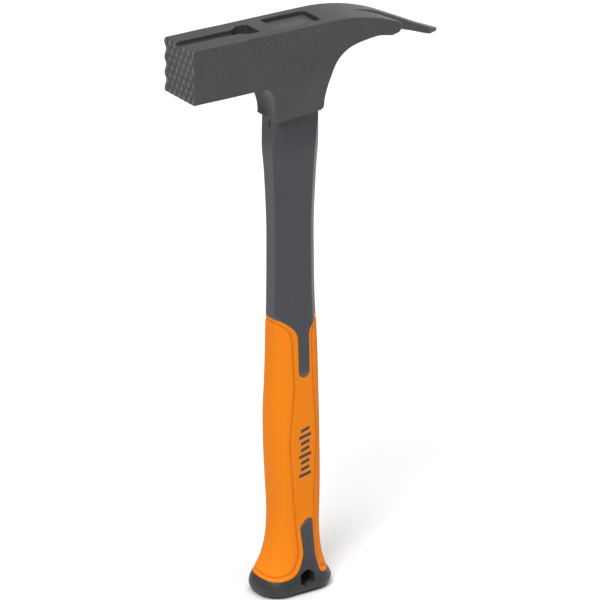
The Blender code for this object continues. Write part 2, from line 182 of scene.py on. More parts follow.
def edgeBend(mesh):
    # how far each point stands out from its neighbours, averaged over a small patch
    places, normals = vertexArrays(mesh)
    ends = np.empty(len(mesh.edges) * 2, np.int32)
    mesh.edges.foreach_get("vertices", ends)
    first, second = ends.reshape(-1, 2).T
    count = np.bincount(ends, minlength=len(places))

    def gather(atFirst, atSecond):
        size = len(places)
        return (np.bincount(first, atFirst, size) + np.bincount(second, atSecond, size)) / count

    def average(values):
        return gather(values[second], values[first])

    span = np.linalg.norm(places[first] - places[second], axis=1)
    reach = gather(span, span)
    around = np.stack([average(places[:, axis]) for axis in range(3)], axis=1)
    bend = np.sum((places - around) * normals, axis=1) / reach
    for _ in range(3):
        bend = average(bend)
    return bend


def outlineDistance(x, z, outline):
    # distance to a closed outline in the side view, positive inside it
    nearest = np.full(len(x), 1.0)
    inside = np.zeros(len(x), bool)
    for index in range(len(outline)):
        ax, az = outline[index - 1]
        bx, bz = outline[index]
        lengthSquared = max((bx - ax) ** 2 + (bz - az) ** 2, 1e-14)
        along = np.clip(((x - ax) * (bx - ax) + (z - az) * (bz - az)) / lengthSquared, 0, 1)
        away = np.hypot(x - ax - along * (bx - ax), z - az - along * (bz - az))
        nearest = np.minimum(nearest, away)
        crosses = (az > z) != (bz > z)
        inside ^= crosses & (x < ax + (z - az) / (bz - az if bz != az else 1.0) * (bx - ax))
    return np.where(inside, nearest, -nearest)


# the forged head: depths are measured down from its flat top
headShape = {
    "halfWidth": 0.0135,
    "toothHeight": 0.0016,  # the waffle face: its teeth stand on a lattice of slanted cells
    "toothHalfWidth": 0.00215,
    "toothHalfHeight": 0.0041,
    "toothCells": 18,
    "pollDepth": 0.0288,
    "socketDepth": 0.0481,
    "socketTilt": 0.0009,  # its lower rim drops this far at the front and rises as far at the rear
    "socketHalfWidth": 0.0110,
    "socketFront": -0.0149,
    "socketRear": 0.0136,
    "throat": ((-0.0255, 0.0288), (-0.0190, 0.0288), (-0.0166, 0.0330), (-0.0149, 0.0430)),
    "socketBack": ((0.0136, 0.0420), (0.0166, 0.0168), (0.0262, 0.0150), (0.0440, 0.0136)),
    "clawUnder": ((0.0440, 0.0136), (0.0512, 0.0136), (0.0720, 0.0208), (0.0887, 0.0270)),
    "socketHeel": 0.0024,
    "sharpOver": math.radians(40),
    "edge": 0.0009,  # widths of the rounding along each kind of edge
    "faceEdge": 0.0014,
    "socketCorners": {"near": 0.0036, "far": 0.0062, "rear": 0.0014},
    "cornerFade": 0.010,  # over this height below the poll the corners widen
    "socketRim": 0.0013,
    "arcStart": 0.0158,
    "arcRadius": 0.1050,
    "arcSweep": math.radians(25.5),
    "clawEdge": (0.0012, 0.0276),
    "tipReach": 0.0010,  # how far the tip is drawn out, and over what length
    "tipStretch": 0.012,
    "voxel": 0.00030,  # the finished forging is remeshed evenly, then thinned to this many triangles
    "triangles": 190000,
    "waves": (0.016, 0.00022),  # size and strength of the unevenness of the forging
    "scale": (0.0030, 0.00005),
}


def sideCurve(control, steps):
    points = interpolate_bezier(*(Vector((x, 0, top - depth)) for x, depth in control), steps)
    return [(point.x, point.z) for point in points]


def headOutline():
    shape = headShape
    found = [(headLow.x, top), (shape["arcStart"], top)]
    arcSteps = 24
    for step in range(1, arcSteps + 1):
        angle = shape["arcSweep"] * step / arcSteps
        drop = shape["arcRadius"] * (1 - math.cos(angle))
        found.append((shape["arcStart"] + shape["arcRadius"] * math.sin(angle), top - drop))
    arcX, arcZ = found[-1]
    tip = headHigh.x
    edgeLength, edgeDepth = shape["clawEdge"]
    found.append((tip, arcZ - math.tan(shape["arcSweep"]) * (tip - arcX)))
    found.append((tip - edgeLength, top - edgeDepth))
    found += sideCurve(shape["clawUnder"], 20)[::-1]
    found += sideCurve(shape["socketBack"], 28)[-2::-1]
    rear, bottom, heel = shape["socketRear"], top - shape["socketDepth"], shape["socketHeel"]
    for step in range(7):
        angle = math.radians(15 * step)
        found.append((rear - heel * (1 - math.cos(angle)), bottom + heel * (1 - math.sin(angle))))
    found.append((shape["socketFront"], bottom))
    found += sideCurve(shape["throat"], 16)[::-1]
    found.append((headLow.x, top - shape["pollDepth"]))
    return found


def eased(low, high, share):
    return low + (high - low) * share


def headBlank():
    # the outline carried through, narrowed at the socket, with its edges rounded
    shape = headShape
    bm = sidePrism(headOutline(), shape["halfWidth"])
    shoulder = top - shape["pollDepth"]
    everything = bm.verts[:] + bm.edges[:] + bm.faces[:]
    level = (0, 0, shoulder - 2 * near)
    bmesh.ops.bisect_plane(bm, geom=everything, dist=1e-7, plane_co=level, plane_no=(0, 0, 1))
    socketHeight = shape["socketDepth"] - shape["pollDepth"]
    narrowing = (shape["halfWidth"] - shape["socketHalfWidth"]) / socketHeight
    for vert in bm.verts:
        vert.co.y -= math.copysign(max(0.0, shoulder - vert.co.z) * narrowing, vert.co.y)
    bmesh.ops.recalc_face_normals(bm, faces=bm.faces)
    bm.normal_update()
    corners = shape["socketCorners"]
    widest = max(corners.values())
    weight = bm.edges.layers.float.new("bevel_weight_edge")
    for edge in bm.edges:
        middle = (edge.verts[0].co + edge.verts[1].co) / 2
        if edge.calc_face_angle(0) < shape["sharpOver"]:
            continue
        width = shape["edge"]
        if middle.x < headLow.x + near:
            width = shape["faceEdge"]
        elif middle.z < headLow.z + near:
            width = shape["socketRim"]
        elif middle.z < shoulder and abs(edge.verts[0].co.z - edge.verts[1].co.z) > near:
            place = "rear" if middle.x > 0 else "near" if middle.y < 0 else "far"
            share = min(1.0, (shoulder - middle.z) / shape["cornerFade"])
            width = eased(shape["edge"], corners[place], share)
        edge[weight] = width / widest
    blank = addObject(bm, "forgedHead")
    rounding = blank.modifiers.new("edges", "BEVEL")
    rounding.limit_method = "WEIGHT"
    rounding.width = widest
    rounding.segments = 5
    rounding.use_clamp_overlap = False
    applyAll(blank)
    for vert in blank.data.vertices:
        share = max(0.0, shoulder - vert.co.z) / (shoulder - headLow.z)
        vert.co.z += shape["socketTilt"] * share * vert.co.x / shape["socketRear"]
    return blank


clawShape = {
    "cutHeight": 0.048,
    # the slot and the waste beside the short prong in a plan view, as x, y and fillet radius
    "slot": (
        (0.1100, -0.0300, 0.0),
        (0.1100, 0.0135, 0.0),
        (0.0964, 0.0120, 0.0004),
        (0.0938, 0.0088, 0.0010),
        (0.0872, 0.0050, 0.0060),
        (0.0500, 0.0043, 0.0300),
        (0.0392, 0.0015, 0.0004),
        (0.0392, 0.0006, 0.0004),
        (0.0500, -0.0026, 0.0100),
        (0.0560, -0.0094, 0.0060),
        (0.0597, -0.0150, 0.0),
        (0.0597, -0.0300, 0.0),
    ),
    # what is cut from under the short prong in a side view, as x, depth and fillet radius
    "underProng": (
        (0.0519, 0.0151, 0.0),
        (0.0572, 0.0138, 0.0030),
        (0.0602, 0.0095, 0.0),
        (0.0640, 0.0095, 0.0),
        (0.0640, 0.0200, 0.0),
        (0.0519, 0.0200, 0.0),
    ),
}


def clawCutter():
    bottom = top - headShape["socketDepth"] + past
    points = [(p.x, p.y, bottom) for p in filleted(clawShape["slot"])]
    return addObject(prism(points, (0, 0, clawShape["cutHeight"])), "clawCutter")


def prongCutter():
    outline = filleted([(x, top - depth, radius) for x, depth, radius in clawShape["underProng"]])
    points = [(p.x, -reachAcross, p.y) for p in outline]
    return addObject(prism(points, (0, reachAcross, 0)), "prongCutter")


def toothCutter():
    shape = headShape
    cells = shape["toothCells"]
    bm = bmesh.new()
    bmesh.ops.create_grid(bm, x_segments=cells, y_segments=cells, size=cells / 2)
    wide, tall = shape["toothHalfWidth"], shape["toothHalfHeight"]
    root = headLow.x + shape["toothHeight"]
    middle = top - shape["pollDepth"] / 2
    lattice = Matrix(((0, 0, -1, root), (wide, -wide, 0, 0), (tall, tall, 0, middle), (0, 0, 0, 1)))
    bmesh.ops.transform(bm, matrix=lattice, verts=bm.verts)
    border = [edge for edge in bm.edges if edge.is_boundary]
    tips = bmesh.ops.poke(bm, faces=bm.faces)["verts"]
    bmesh.ops.translate(bm, verts=tips, vec=(-shape["toothHeight"], 0, 0))
    skirt = bmesh.ops.extrude_edge_only(bm, edges=border)["geom"]
    rim = [item for item in skirt if isinstance(item, bmesh.types.BMVert)]
    bmesh.ops.translate(bm, verts=rim, vec=(-shape["toothHeight"] - past, 0, 0))
    bmesh.ops.contextual_create(bm, geom=[edge for edge in bm.edges if edge.is_boundary])
    return addObject(bm, "toothCutter")


# the eye tapers: half length and half width at its top and at its bottom
eyeShape = {
    "top": (0.0132, 0.0082),
    "bottom": (0.0124, 0.0087),
    "corner": 0.0022,
}


def eyePoints(depth, clearance=0.0):
    share = depth / headShape["socketDepth"]
    ends = zip(eyeShape["top"], eyeShape["bottom"])
    halfX, halfY = (eased(upper, lower, share) - clearance for upper, lower in ends)
    outline = roundedBox(halfX, halfY, eyeShape["corner"] - clearance)
    return [(*point, top - depth) for point in outline]


grooveShape = {
    "halfWidth": 0.0034,
    "depth": 0.0035,
    "floorRound": 0.0022,
    "pocketFront": -0.0325,
    "pocketRear": -0.0220,
    "pocketHalfWidth": 0.0064,
    "pocketDepth": 0.0065,
    "pocketTaper": 0.0045,
    "pocketDraft": 0.86,  # its floor is this share of its mouth
    "pocketLip": 0.001,
    "overlap": 0.002,
    "magnetX": -0.0480,
    "magnetRadius": 0.0022,
    "magnetGap": 0.0003,
    "magnetBevel": 0.00025,
}


def grooveCutter():
    shape = grooveShape
    half, floor = shape["halfWidth"], top - shape["depth"]
    corners = (
        (-half, top + past, 0.0),
        (-half, floor, shape["floorRound"]),
        (half, floor, shape["floorRound"]),
        (half, top + past, 0.0),
    )
    start = headLow.x - past
    points = [(start, p.x, p.y) for p in filleted(corners)]
    length = shape["pocketFront"] + shape["overlap"] - start
    return addObject(prism(points, (length, 0, 0)), "grooveCutter")


def pocketCutter():
    shape = grooveShape
    front, rear, taper = shape["pocketFront"], shape["pocketRear"], shape["pocketTaper"]
    wide, narrow = shape["pocketHalfWidth"], shape["halfWidth"]
    corners = (
        (rear, -wide, 0.0010),
        (rear, wide, 0.0010),
        (front + taper, wide, 0.0016),
        (front, narrow, 0.0008),
        (front, -narrow, 0.0008),
        (front + taper, -wide, 0.0016),
    )
    outline = filleted(corners)
    middle = Vector(((front + rear) / 2, 0))
    rings = []
    levels = ((shape["pocketDepth"], shape["pocketDraft"]), (shape["pocketLip"], 1.0), (-past, 1.0))
    for depth, share in levels:
        rings.append([(*(middle + (p - middle) * share), top - depth) for p in outline])
    return addObject(loft(rings), "pocketCutter")


def discMesh(radius, low, high, bevel=0.0):
    bm = bmesh.new()
    height = high - low
    bmesh.ops.create_cone(bm, cap_ends=True, segments=48, radius1=radius, radius2=radius, depth=height)
    if bevel:
        rims = [edge for edge in bm.edges if edge.calc_face_angle(0) > 1.0]
        bmesh.ops.bevel(
            bm, geom=rims, offset=bevel, affect="EDGES", segments=3, profile=0.5, material=-1
        )
    bmesh.ops.translate(bm, verts=bm.verts, vec=(grooveShape["magnetX"], 0, (low + high) / 2))
    return bm


def eyeCutter():
    return addObject(loft([eyePoints(headShape["socketDepth"] + past), eyePoints(-past)]), "eyeCutter")


def seatCutter():
    low, high = (corner.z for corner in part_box("nail_magnet"))
    gap = grooveShape["magnetGap"]
    return addObject(discMesh(grooveShape["magnetRadius"] + gap, low - gap, high + past), "seatCutter")


def forgedHead(finish):
    head = headBlank()
    cutters = (clawCutter, prongCutter, toothCutter, eyeCutter, grooveCutter, pocketCutter, seatCutter)
    cutAway(head, [makeCutter() for makeCutter in cutters])
    remesh = head.modifiers.new("even", "REMESH")
    remesh.mode = "VOXEL"
    remesh.voxel_size = headShape["voxel"]
    softer = head.modifiers.new("soften", "SMOOTH")
    softer.factor = 0.5
    softer.iterations = 1
    applyAll(head)
    for vert in head.data.vertices:
        share = max(0.0, 1 + (vert.co.x - headHigh.x) / headShape["tipStretch"])
        vert.co.x += headShape["tipReach"] * share
    for name in ("waves", "scale"):
        size, strength = headShape[name]
        clouds = bpy.data.textures.new(name, "CLOUDS")
        clouds.noise_scale = size
        clouds.noise_depth = 2
        push = head.modifiers.new(name, "DISPLACE")
        push.texture = clouds
        push.texture_coords = "LOCAL"
        push.mid_level = 0.5
        push.strength = strength
    fewer = head.modifiers.new("fewer", "DECIMATE")
    fewer.ratio = min(1.0, headShape["triangles"] / (2 * len(head.data.polygons)))
    applyAll(head)
    storeMask(head.data, "surfaceBend", edgeBend(head.data))
    places, _ = vertexArrays(head.data)
    root = headLow.x + headShape["toothHeight"]
    storeMask(head.data, "tooth", np.clip((root - places[:, 0]) / headShape["toothHeight"], -1, 1))
    return dress(head, finish, "head_steel", "hammer_head")


def nailMagnet(finish):
    low, high = (corner.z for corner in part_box("nail_magnet"))
    disc = discMesh(grooveShape["magnetRadius"], low, high, grooveShape["magnetBevel"])
    return dress(addObject(disc, "magnetDisc"), finish, "magnet_metal", "nail_magnet", sharpOver=35)


# the clearance round the plug at each share of its height
plugShape = ((0.0, 0.00042), (0.06, 0.0003), (0.86, 0.0003), (0.97, 0.00042), (1.0, 0.0008))


def eyePlug(finish):
    low, high = (corner.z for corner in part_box("eye_plug"))
    rings = [eyePoints(top - eased(low, high, share), clearance) for share, clearance in plugShape]
    return dress(addObject(loft(rings), "plugCap"), finish, "jacket_plastic", "eye_plug", sharpOver=40)


# the handle: its jacket and its soft grip share one surface
handleShape = {
    # height, half length to the front and to the rear, half width, chamfer, corner rounding
    "sections": (
        (0.0050, 0.0225, 0.0217, 0.0145, 0.0076, 0.0124),
        (0.0080, 0.0216, 0.0202, 0.0141, 0.0072, 0.0120),
        (0.0110, 0.0196, 0.0184, 0.0135, 0.0069, 0.0112),
        (0.0150, 0.0171, 0.0169, 0.0128, 0.0065, 0.0105),
        (0.0200, 0.0151, 0.0158, 0.0120, 0.0062, 0.0100),
        (0.0280, 0.0131, 0.0149, 0.0112, 0.0057, 0.0092),
        (0.0380, 0.0121, 0.0146, 0.0107, 0.0054, 0.0085),
        (0.0480, 0.0120, 0.0148, 0.0107, 0.0054, 0.0082),
        (0.0640, 0.0128, 0.0149, 0.0110, 0.0056, 0.0075),
        (0.0800, 0.0135, 0.0146, 0.0111, 0.0056, 0.0072),
        (0.0980, 0.0138, 0.0143, 0.0110, 0.0056, 0.0068),
        (0.1080, 0.0136, 0.0141, 0.0108, 0.0056, 0.0064),
        (0.1150, 0.0131, 0.0139, 0.0107, 0.0055, 0.0060),
        (0.1320, 0.0126, 0.0135, 0.0101, 0.0053, 0.0040),
        (0.1500, 0.0123, 0.0128, 0.0096, 0.0051, 0.0028),
        (0.1640, 0.0121, 0.0121, 0.0092, 0.0050, 0.0015),
        (0.1890, 0.0119, 0.0117, 0.0090, 0.0049, 0.0010),
        (0.2070, 0.0120, 0.0117, 0.0090, 0.0049, 0.0009),
        (0.2330, 0.0129, 0.0127, 0.0099, 0.0052, 0.0008),
        (0.2460, 0.0138, 0.0135, 0.0105, 0.0054, 0.0008),
        (0.2615, 0.0120, 0.0120, 0.0083, 0.0008, 0.0003),
        (0.2652, 0.0120, 0.0120, 0.0083, 0.0008, 0.0003),
    ),
    "rows": {"gap": 0.0016, "arcSteps": 5, "flatSteps": (16, 6, 6)},
    "buttRound": 0.0050,
    "leastChamfer": 0.0004,
    "leastRound": 0.0002,
    "tipHalf": (0.0109, 0.0072),
    "tipCorner": 0.0018,
    "coreCorner": 0.0020,
    "coreGap": 0.0003,
    "holePlace": (0.0017, 0.0088),
    "holeRadius": 0.0051,
    # half width, depth and lower end of the slot that lets spare adhesive out
    "bleed": (0.0005, 0.0010, 0.2575),
}


def sectionAt(height):
    # a smooth curve through the rows above and below this height
    rows = handleShape["sections"]
    place = max(1, next((i for i, row in enumerate(rows) if row[0] >= height), len(rows) - 1))
    low, high = rows[place - 1], rows[place]
    before, after = rows[max(place - 2, 0)], rows[min(place + 1, len(rows) - 1)]
    span = high[0] - low[0]
    t = max(0.0, (height - low[0]) / span)
    values = []
    for column in range(1, len(low)):
        slopeLow = (high[column] - before[column]) / (high[0] - before[0]) * span
        slopeHigh = (after[column] - low[column]) / (after[0] - low[0]) * span
        values.append(
            (2 * t**3 - 3 * t**2 + 1) * low[column]
            + (t**3 - 2 * t**2 + t) * slopeLow
            + (3 * t**2 - 2 * t**3) * high[column]
            + (t**3 - t**2) * slopeHigh
        )
    return values


def handleRing(height, inset, arcSteps, flatSteps):
    # flatSteps: how many parts the broad sides, the chamfers and the two ends are cut into
    radius = handleShape["buttRound"]
    if height < radius:
        inset += radius - math.sqrt(radius**2 - (radius - height) ** 2)
    front, rear, half, chamfer, rounding = sectionAt(height)
    front, rear, half, rounding = front - inset, rear - inset, half - inset, rounding - inset
    chamfer = max(chamfer - inset * (2 - math.sqrt(2)), handleShape["leastChamfer"])
    rounding = max(min(rounding, 1.6 * chamfer), handleShape["leastRound"])
    corners = []
    for end, side in ((rear, 1), (front, -1)):
        for turn in (-1, 1):
            wide, cut = side * turn * half, side * turn * (half - chamfer)
            pair = [(side * (end - chamfer), wide, rounding), (side * end, cut, rounding)]
            corners += pair if turn < 0 else pair[::-1]
    rounded = filleted(corners, arcSteps)
    broad, slanted, ends = flatSteps
    found = []
    for index, parts in enumerate((slanted, ends, slanted, broad) * 2):
        arc = rounded[index * (arcSteps + 1):(index + 1) * (arcSteps + 1)]
        following = rounded[(index + 1) * (arcSteps + 1) % len(rounded)]
        found += arc + [arc[-1].lerp(following, part / parts) for part in range(1, parts)]
    return [(*point, height) for point in found]


innerRows = {"gap": 0.004, "arcSteps": 3, "flatSteps": (6, 3, 3)}  # for surfaces that stay hidden


def handleBody(low, high, inset, gap, arcSteps, flatSteps):
    stops = [low] + [row[0] for row in handleShape["sections"] if low < row[0] < high] + [high]
    heights = []
    for start, end in zip(stops, stops[1:]):
        fine = gap / 3 if end <= handleShape["buttRound"] else gap
        count = max(1, math.ceil((end - start) / fine))
        heights += [eased(start, end, step / count) for step in range(count)]
    return loft([handleRing(height, inset, arcSteps, flatSteps) for height in heights + [high]])


gripShape = {
    "rows": {"gap": 0.00045, "arcSteps": 8, "flatSteps": (30, 12, 12)},
    "span": (0.0040, 0.1620),
    "thickness": 0.0020,
    "edgeRound": 0.0004,
    # the edge in a side view, clockwise, as x, height and fillet radius
    "edge": (
        (-0.0300, 0.1542, 0.0),
        (-0.0108, 0.1542, 0.0100),
        (-0.0014, 0.1466, 0.0100),
        (-0.0013, 0.1213, 0.0030),
        (0.0050, 0.1213, 0.0030),
        (0.0050, 0.1460, 0.0060),
        (0.0098, 0.1536, 0.0030),
        (0.0300, 0.1536, 0.0),
        (0.0300, 0.0085, 0.0),
        (0.0101, 0.0097, 0.0032),
        (0.0077, 0.0205, 0.0120),
        (0.0065, 0.0411, 0.0014),
        (0.0028, 0.0411, 0.0030),
        (-0.0007, 0.0370, 0.0022),
        (0.0008, 0.0215, 0.0100),
        (-0.0040, 0.0113, 0.0090),
        (-0.0150, 0.0096, 0.0120),
        (-0.0300, 0.0112, 0.0),
    ),
    # the groove round the front zone, and the one round the rear zone
    "frontZone": (
        (-0.0300, 0.1522, 0.0),
        (-0.0118, 0.1522, 0.0045),
        (-0.0058, 0.1472, 0.0110),
        (-0.0049, 0.1380, 0.0400),
        (-0.0041, 0.1150, 0.0500),
        (-0.0073, 0.0870, 0.0600),
        (-0.0055, 0.0620, 0.0600),
        (-0.0034, 0.0380, 0.0400),
        (-0.0023, 0.0220, 0.0090),
        (-0.0064, 0.0140, 0.0080),
        (-0.0150, 0.0117, 0.0100),
        (-0.0300, 0.0130, 0.0),
    ),
    "rearZone": (
        (0.0300, 0.1508, 0.0),
        (0.0100, 0.1508, 0.0030),
        (0.0067, 0.1455, 0.0045),
        (0.0071, 0.1160, 0.0600),
        (0.0096, 0.0880, 0.0600),
        (0.0077, 0.0590, 0.0600),
        (0.0080, 0.0360, 0.0400),
        (0.0092, 0.0190, 0.0150),
        (0.0113, 0.0122, 0.0035),
        (0.0300, 0.0106, 0.0),
    ),
    "grooveWidth": 0.00045,
    "grooveDepth": 0.00038,
    "zoneBorder": 0.0012,
    "zoneRise": 0.00018,
    "cellPitch": 0.0017,
    "cellHeight": 0.00015,
    "cellRadius": 0.0130,  # mean radius that turns an angle round the handle into a length
}


def shrunkGrip(distance):
    return filleted(insetCorners(gripShape["edge"], distance))


def softStep(values, start, end):
    share = np.clip((values - start) / (end - start), 0, 1)
    return share * share * (3 - 2 * share)


def cellHeights(places):
    # three crossed waves make a lattice of low round cells
    around = np.arctan2(places[:, 1], -places[:, 0]) * gripShape["cellRadius"]
    wave = 4 * math.pi / (math.sqrt(3) * gripShape["cellPitch"])
    total = np.cos(wave * around)
    for side in (-1, 1):
        total += np.cos(wave * (around / 2 + side * math.sqrt(3) / 2 * places[:, 2]))
    return total / 3


def zoneMasks(places):
    x, z = places[:, 0], places[:, 2]
    zones, lines = np.zeros(len(x)), np.full(len(x), 1.0)
    for name in ("frontZone", "rearZone"):
        distance = outlineDistance(x, z, filleted(gripShape[name]))
        zones = np.maximum(zones, softStep(distance, 0.0, gripShape["zoneBorder"]))
        lines = np.minimum(lines, np.abs(distance))
    return zones, np.exp(-((lines / gripShape["grooveWidth"]) ** 2))


def sculptGrip(mesh):
    # rounds the edge, raises the zones and their cells, and presses in the grooves
    shape = gripShape
    places, normals = vertexArrays(mesh)
    zones, grooves = zoneMasks(places)
    edge = outlineDistance(places[:, 0], places[:, 2], shrunkGrip(seam))
    nearEdge = 1 - np.clip(edge / shape["edgeRound"], 0, 1)
    drop = shape["edgeRound"] * (1 - np.sqrt(1 - nearEdge**2))
    push = shape["zoneRise"] * zones - shape["grooveDepth"] * grooves - drop
    push += shape["cellHeight"] * cellHeights(places) * softStep(zones, 0.5, 1.0)
    places += normals * push[:, None]
    mesh.vertices.foreach_set("co", places.ravel())
    mesh.update()


def softGrip(finish):
    low, high = gripShape["span"]
    grip = addObject(handleBody(low, high, 0.0, **gripShape["rows"]), "softGrip")
    sculptGrip(grip.data)
    cutAway(grip, [addObject(sidePrism(shrunkGrip(seam), reachAcross), "gripEdge")], "INTERSECT")
    thick = gripShape["thickness"]
    bore = handleBody(low - thick, high + thick, thick, **innerRows)
    cutAway(grip, [addObject(bore, "gripBore")])
    places, _ = vertexArrays(grip.data)
    zones, grooves = zoneMasks(places)
    storeMask(grip.data, "zone", zones)
    storeMask(grip.data, "groove", grooves)
    return dress(grip, finish, "grip_rubber", "grip_sleeve", sharpOver=50)


printShape = {
    "rows": {"gap": 0.0012, "arcSteps": 6, "flatSteps": (12, 6, 6)},
    "margin": 0.002,
    "bars": 8,
    "middle": 0.0018,
    "start": 0.0655,
    "pitch": 0.0036,
    "width": 0.0017,
    "slant": 0.0014,
    "reach": (0.0036, 0.0026, 0.0026),
    "lift": 0.00005,
    "back": 0.0001,
}


def printMark(finish):
    # a plain row of slanted bars along the side panel, printed as a thin film
    shape, margin = printShape, printShape["margin"]
    low, high = shape["start"] - margin, shape["start"] + shape["pitch"] * shape["bars"] + margin
    film = addObject(handleBody(low, high, -shape["lift"], **shape["rows"]), "printMark")
    bars = bmesh.new()
    for index in range(shape["bars"]):
        bottom = shape["start"] + shape["pitch"] * index
        reach = shape["reach"][index % len(shape["reach"])]
        corners = []
        for side, rise in ((-1, 0), (1, shape["slant"])):
            x, lowEnd = shape["middle"] + side * reach, bottom + rise
            corners += [(x, lowEnd), (x, lowEnd + shape["width"])][::side]
        face = bars.faces.new([bars.verts.new((x, -0.020, z)) for x, z in corners])
        grown = bmesh.ops.extrude_face_region(bars, geom=[face])
        moved = [item for item in grown["geom"] if isinstance(item, bmesh.types.BMVert)]
        bmesh.ops.translate(bars, verts=moved, vec=(0, 0.014, 0))
    cutAway(film, [addObject(bars, "bars")], "INTERSECT")
    back = handleBody(low - margin, high + margin, shape["back"], **shape["rows"])
    cutAway(film, [addObject(back, "filmBack")])
    film.data.materials.clear()
    film.data.materials.append(finish)
    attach(film, "root")


def holeCutter():
    x, z = handleShape["holePlace"]
    radius = handleShape["holeRadius"]
    angles = [math.radians(60 * step + 90) for step in range(6)]
    outline = [(x + radius * math.cos(angle), z + radius * math.sin(angle)) for angle in angles]
    return addObject(sidePrism(outline, 0.020), "holeCutter")


def bleedCutter():
    half, depth, bottom = handleShape["bleed"]
    shoulder, front = handleShape["sections"][-1][:2]
    outside, inside = -front - past, -front + depth
    corners = ((outside, -half), (outside, half), (inside, half), (inside, -half))
    travel = (0, 0, shoulder + past - bottom)
    return addObject(prism([(*corner, bottom) for corner in corners], travel), "bleedCutter")


def coreRing(height, clearance):
    _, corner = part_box("handle_core")
    radius = handleShape["coreCorner"] + clearance
    outline = roundedBox(corner.x + clearance, corner.y + clearance, radius)
    return [(*point, height) for point in outline]


def tipRing(height):
    return [(*point, height) for point in roundedBox(*handleShape["tipHalf"], handleShape["tipCorner"])]


def handleJacket(finish):
    shoulder = handleShape["sections"][-1][0]
    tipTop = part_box("handle_jacket")[1].z
    jacket = addObject(handleBody(0.0, shoulder, 0.0, **handleShape["rows"]), "handleJacket")
    tip = addObject(loft([tipRing(shoulder - past), tipRing(tipTop)]), "tipJoiner")
    cutAway(jacket, [tip], "UNION")
    recess = addObject(sidePrism(shrunkGrip(0.0), reachAcross), "recess")
    depth = gripShape["thickness"] + 3 * seam
    root = handleBody(2 * near, shoulder - 2 * near, depth, **innerRows)
    cutAway(recess, [addObject(root, "recessRoot")])
    coreLow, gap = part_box("handle_core")[0].z, handleShape["coreGap"]
    bore = loft([coreRing(coreLow - gap, gap), coreRing(tipTop + past, gap)])
    cutAway(jacket, [recess, addObject(bore, "coreBore"), holeCutter(), bleedCutter()])
    storeMask(jacket.data, "surfaceBend", edgeBend(jacket.data))
    return dress(jacket, finish, "jacket_plastic", "handle_jacket", sharpOver=28)


class Graph:
    # adds nodes to a tree; each input is a value or the socket that feeds it
    def __init__(self, tree):
        self.tree = tree
        self.column = 0

    def add(self, kind, inputs=(), **settings):
        node = self.tree.nodes.new(kind)
        node.location = (self.column * 180, 0)
        self.column += 1
        for name, value in settings.items():
            setattr(node, name, value)
        for key, value in dict(inputs).items():
            if isinstance(value, bpy.types.NodeSocket):
                self.tree.links.new(value, node.inputs[key])
            else:
                node.inputs[key].default_value = value
        return node

    def math(self, operation, first, second=0.0):
        return self.add("ShaderNodeMath", {0: first, 1: second}, operation=operation).outputs[0]

    def noise(self, place, scale, detail=3.0, roughness=0.5):
        inputs = {"Vector": place, "Scale": scale, "Detail": detail, "Roughness": roughness}
        return self.add("ShaderNodeTexNoise", inputs).outputs["Fac"]

    def mix(self, share, first, second):
        node = self.add("ShaderNodeMix", {0: share}, data_type="RGBA")
        for socket, value in ((node.inputs[6], first), (node.inputs[7], second)):
            if isinstance(value, bpy.types.NodeSocket):
                self.tree.links.new(value, socket)
            else:
                socket.default_value = value
        return node.outputs[2]

    def spread(self, value, low, high, newLow=0.0, newHigh=1.0):
        inputs = {"Value": value, "From Min": low, "From Max": high, "To Min": newLow, "To Max": newHigh}
        return self.add("ShaderNodeMapRange", inputs).outputs[0]


def newGroup(name, inputs, outputs):
    group = bpy.data.node_groups.new(name, "ShaderNodeTree")
    for label, value in inputs:
        socket = group.interface.new_socket(label, in_out="INPUT", socket_type="NodeSocketFloat")
        socket.default_value = value
    for label in outputs:
        group.interface.new_socket(label, in_out="OUTPUT", socket_type="NodeSocketFloat")
    graph = Graph(group)
    return group, graph, graph.add("NodeGroupInput"), graph.add("NodeGroupOutput")


def grainGroup():
    # fine moulded or forged grain, with a slow cloudiness over it
    inputs = (("Scale", 2500.0), ("Cloud Scale", 60.0))
    group, graph, given, result = newGroup("surfaceGrain", inputs, ("Height", "Cloud"))
    place = graph.add("ShaderNodeTexCoord").outputs["Object"]
    fine = graph.noise(place, given.outputs["Scale"], 2.0, 0.6)
    coarse = graph.noise(place, graph.math("MULTIPLY", given.outputs["Scale"], 0.31), 2.0, 0.5)
    height = graph.math("ADD", graph.math("MULTIPLY", fine, 0.6), graph.math("MULTIPLY", coarse, 0.4))
    cloud = graph.noise(place, given.outputs["Cloud Scale"], 4.0, 0.55)
    group.links.new(height, result.inputs["Height"])
    group.links.new(graph.spread(cloud, 0.3, 0.7), result.inputs["Cloud"])
    return group


def wearAndHighlightGroup():
    # rubbed edges, and painted highlights along the edges of the grey moulding: where the mask of bent
    # points is high, broken up by noise
    inputs = (("Start", 0.1), ("End", 0.3), ("Scale", 300.0))
    group, graph, given, result = newGroup("edgeWearAndHighlight", inputs, ("Mask",))
    place = graph.add("ShaderNodeTexCoord").outputs["Object"]
    bend = readMask(graph, "surfaceBend")
    edges = graph.spread(bend, given.outputs["Start"], given.outputs["End"])
    patches = graph.spread(graph.noise(place, given.outputs["Scale"], 3.0), 0.35, 0.65, 0.35, 1.0)
    group.links.new(graph.math("MULTIPLY", edges, patches), result.inputs["Mask"])
    return group


def newMaterial(name, metallic=0.0):
    made = bpy.data.materials.new(name)
    made.use_nodes = True
    shader = made.node_tree.nodes["Principled BSDF"]
    shader.inputs["Metallic"].default_value = metallic
    return made, Graph(made.node_tree), shader


def placeGrain(graph, grain, scale, cloudScale):
    node = graph.add("ShaderNodeGroup", node_tree=grain)
    node.inputs["Scale"].default_value = scale
    node.inputs["Cloud Scale"].default_value = cloudScale
    return node.outputs["Height"], node.outputs["Cloud"]


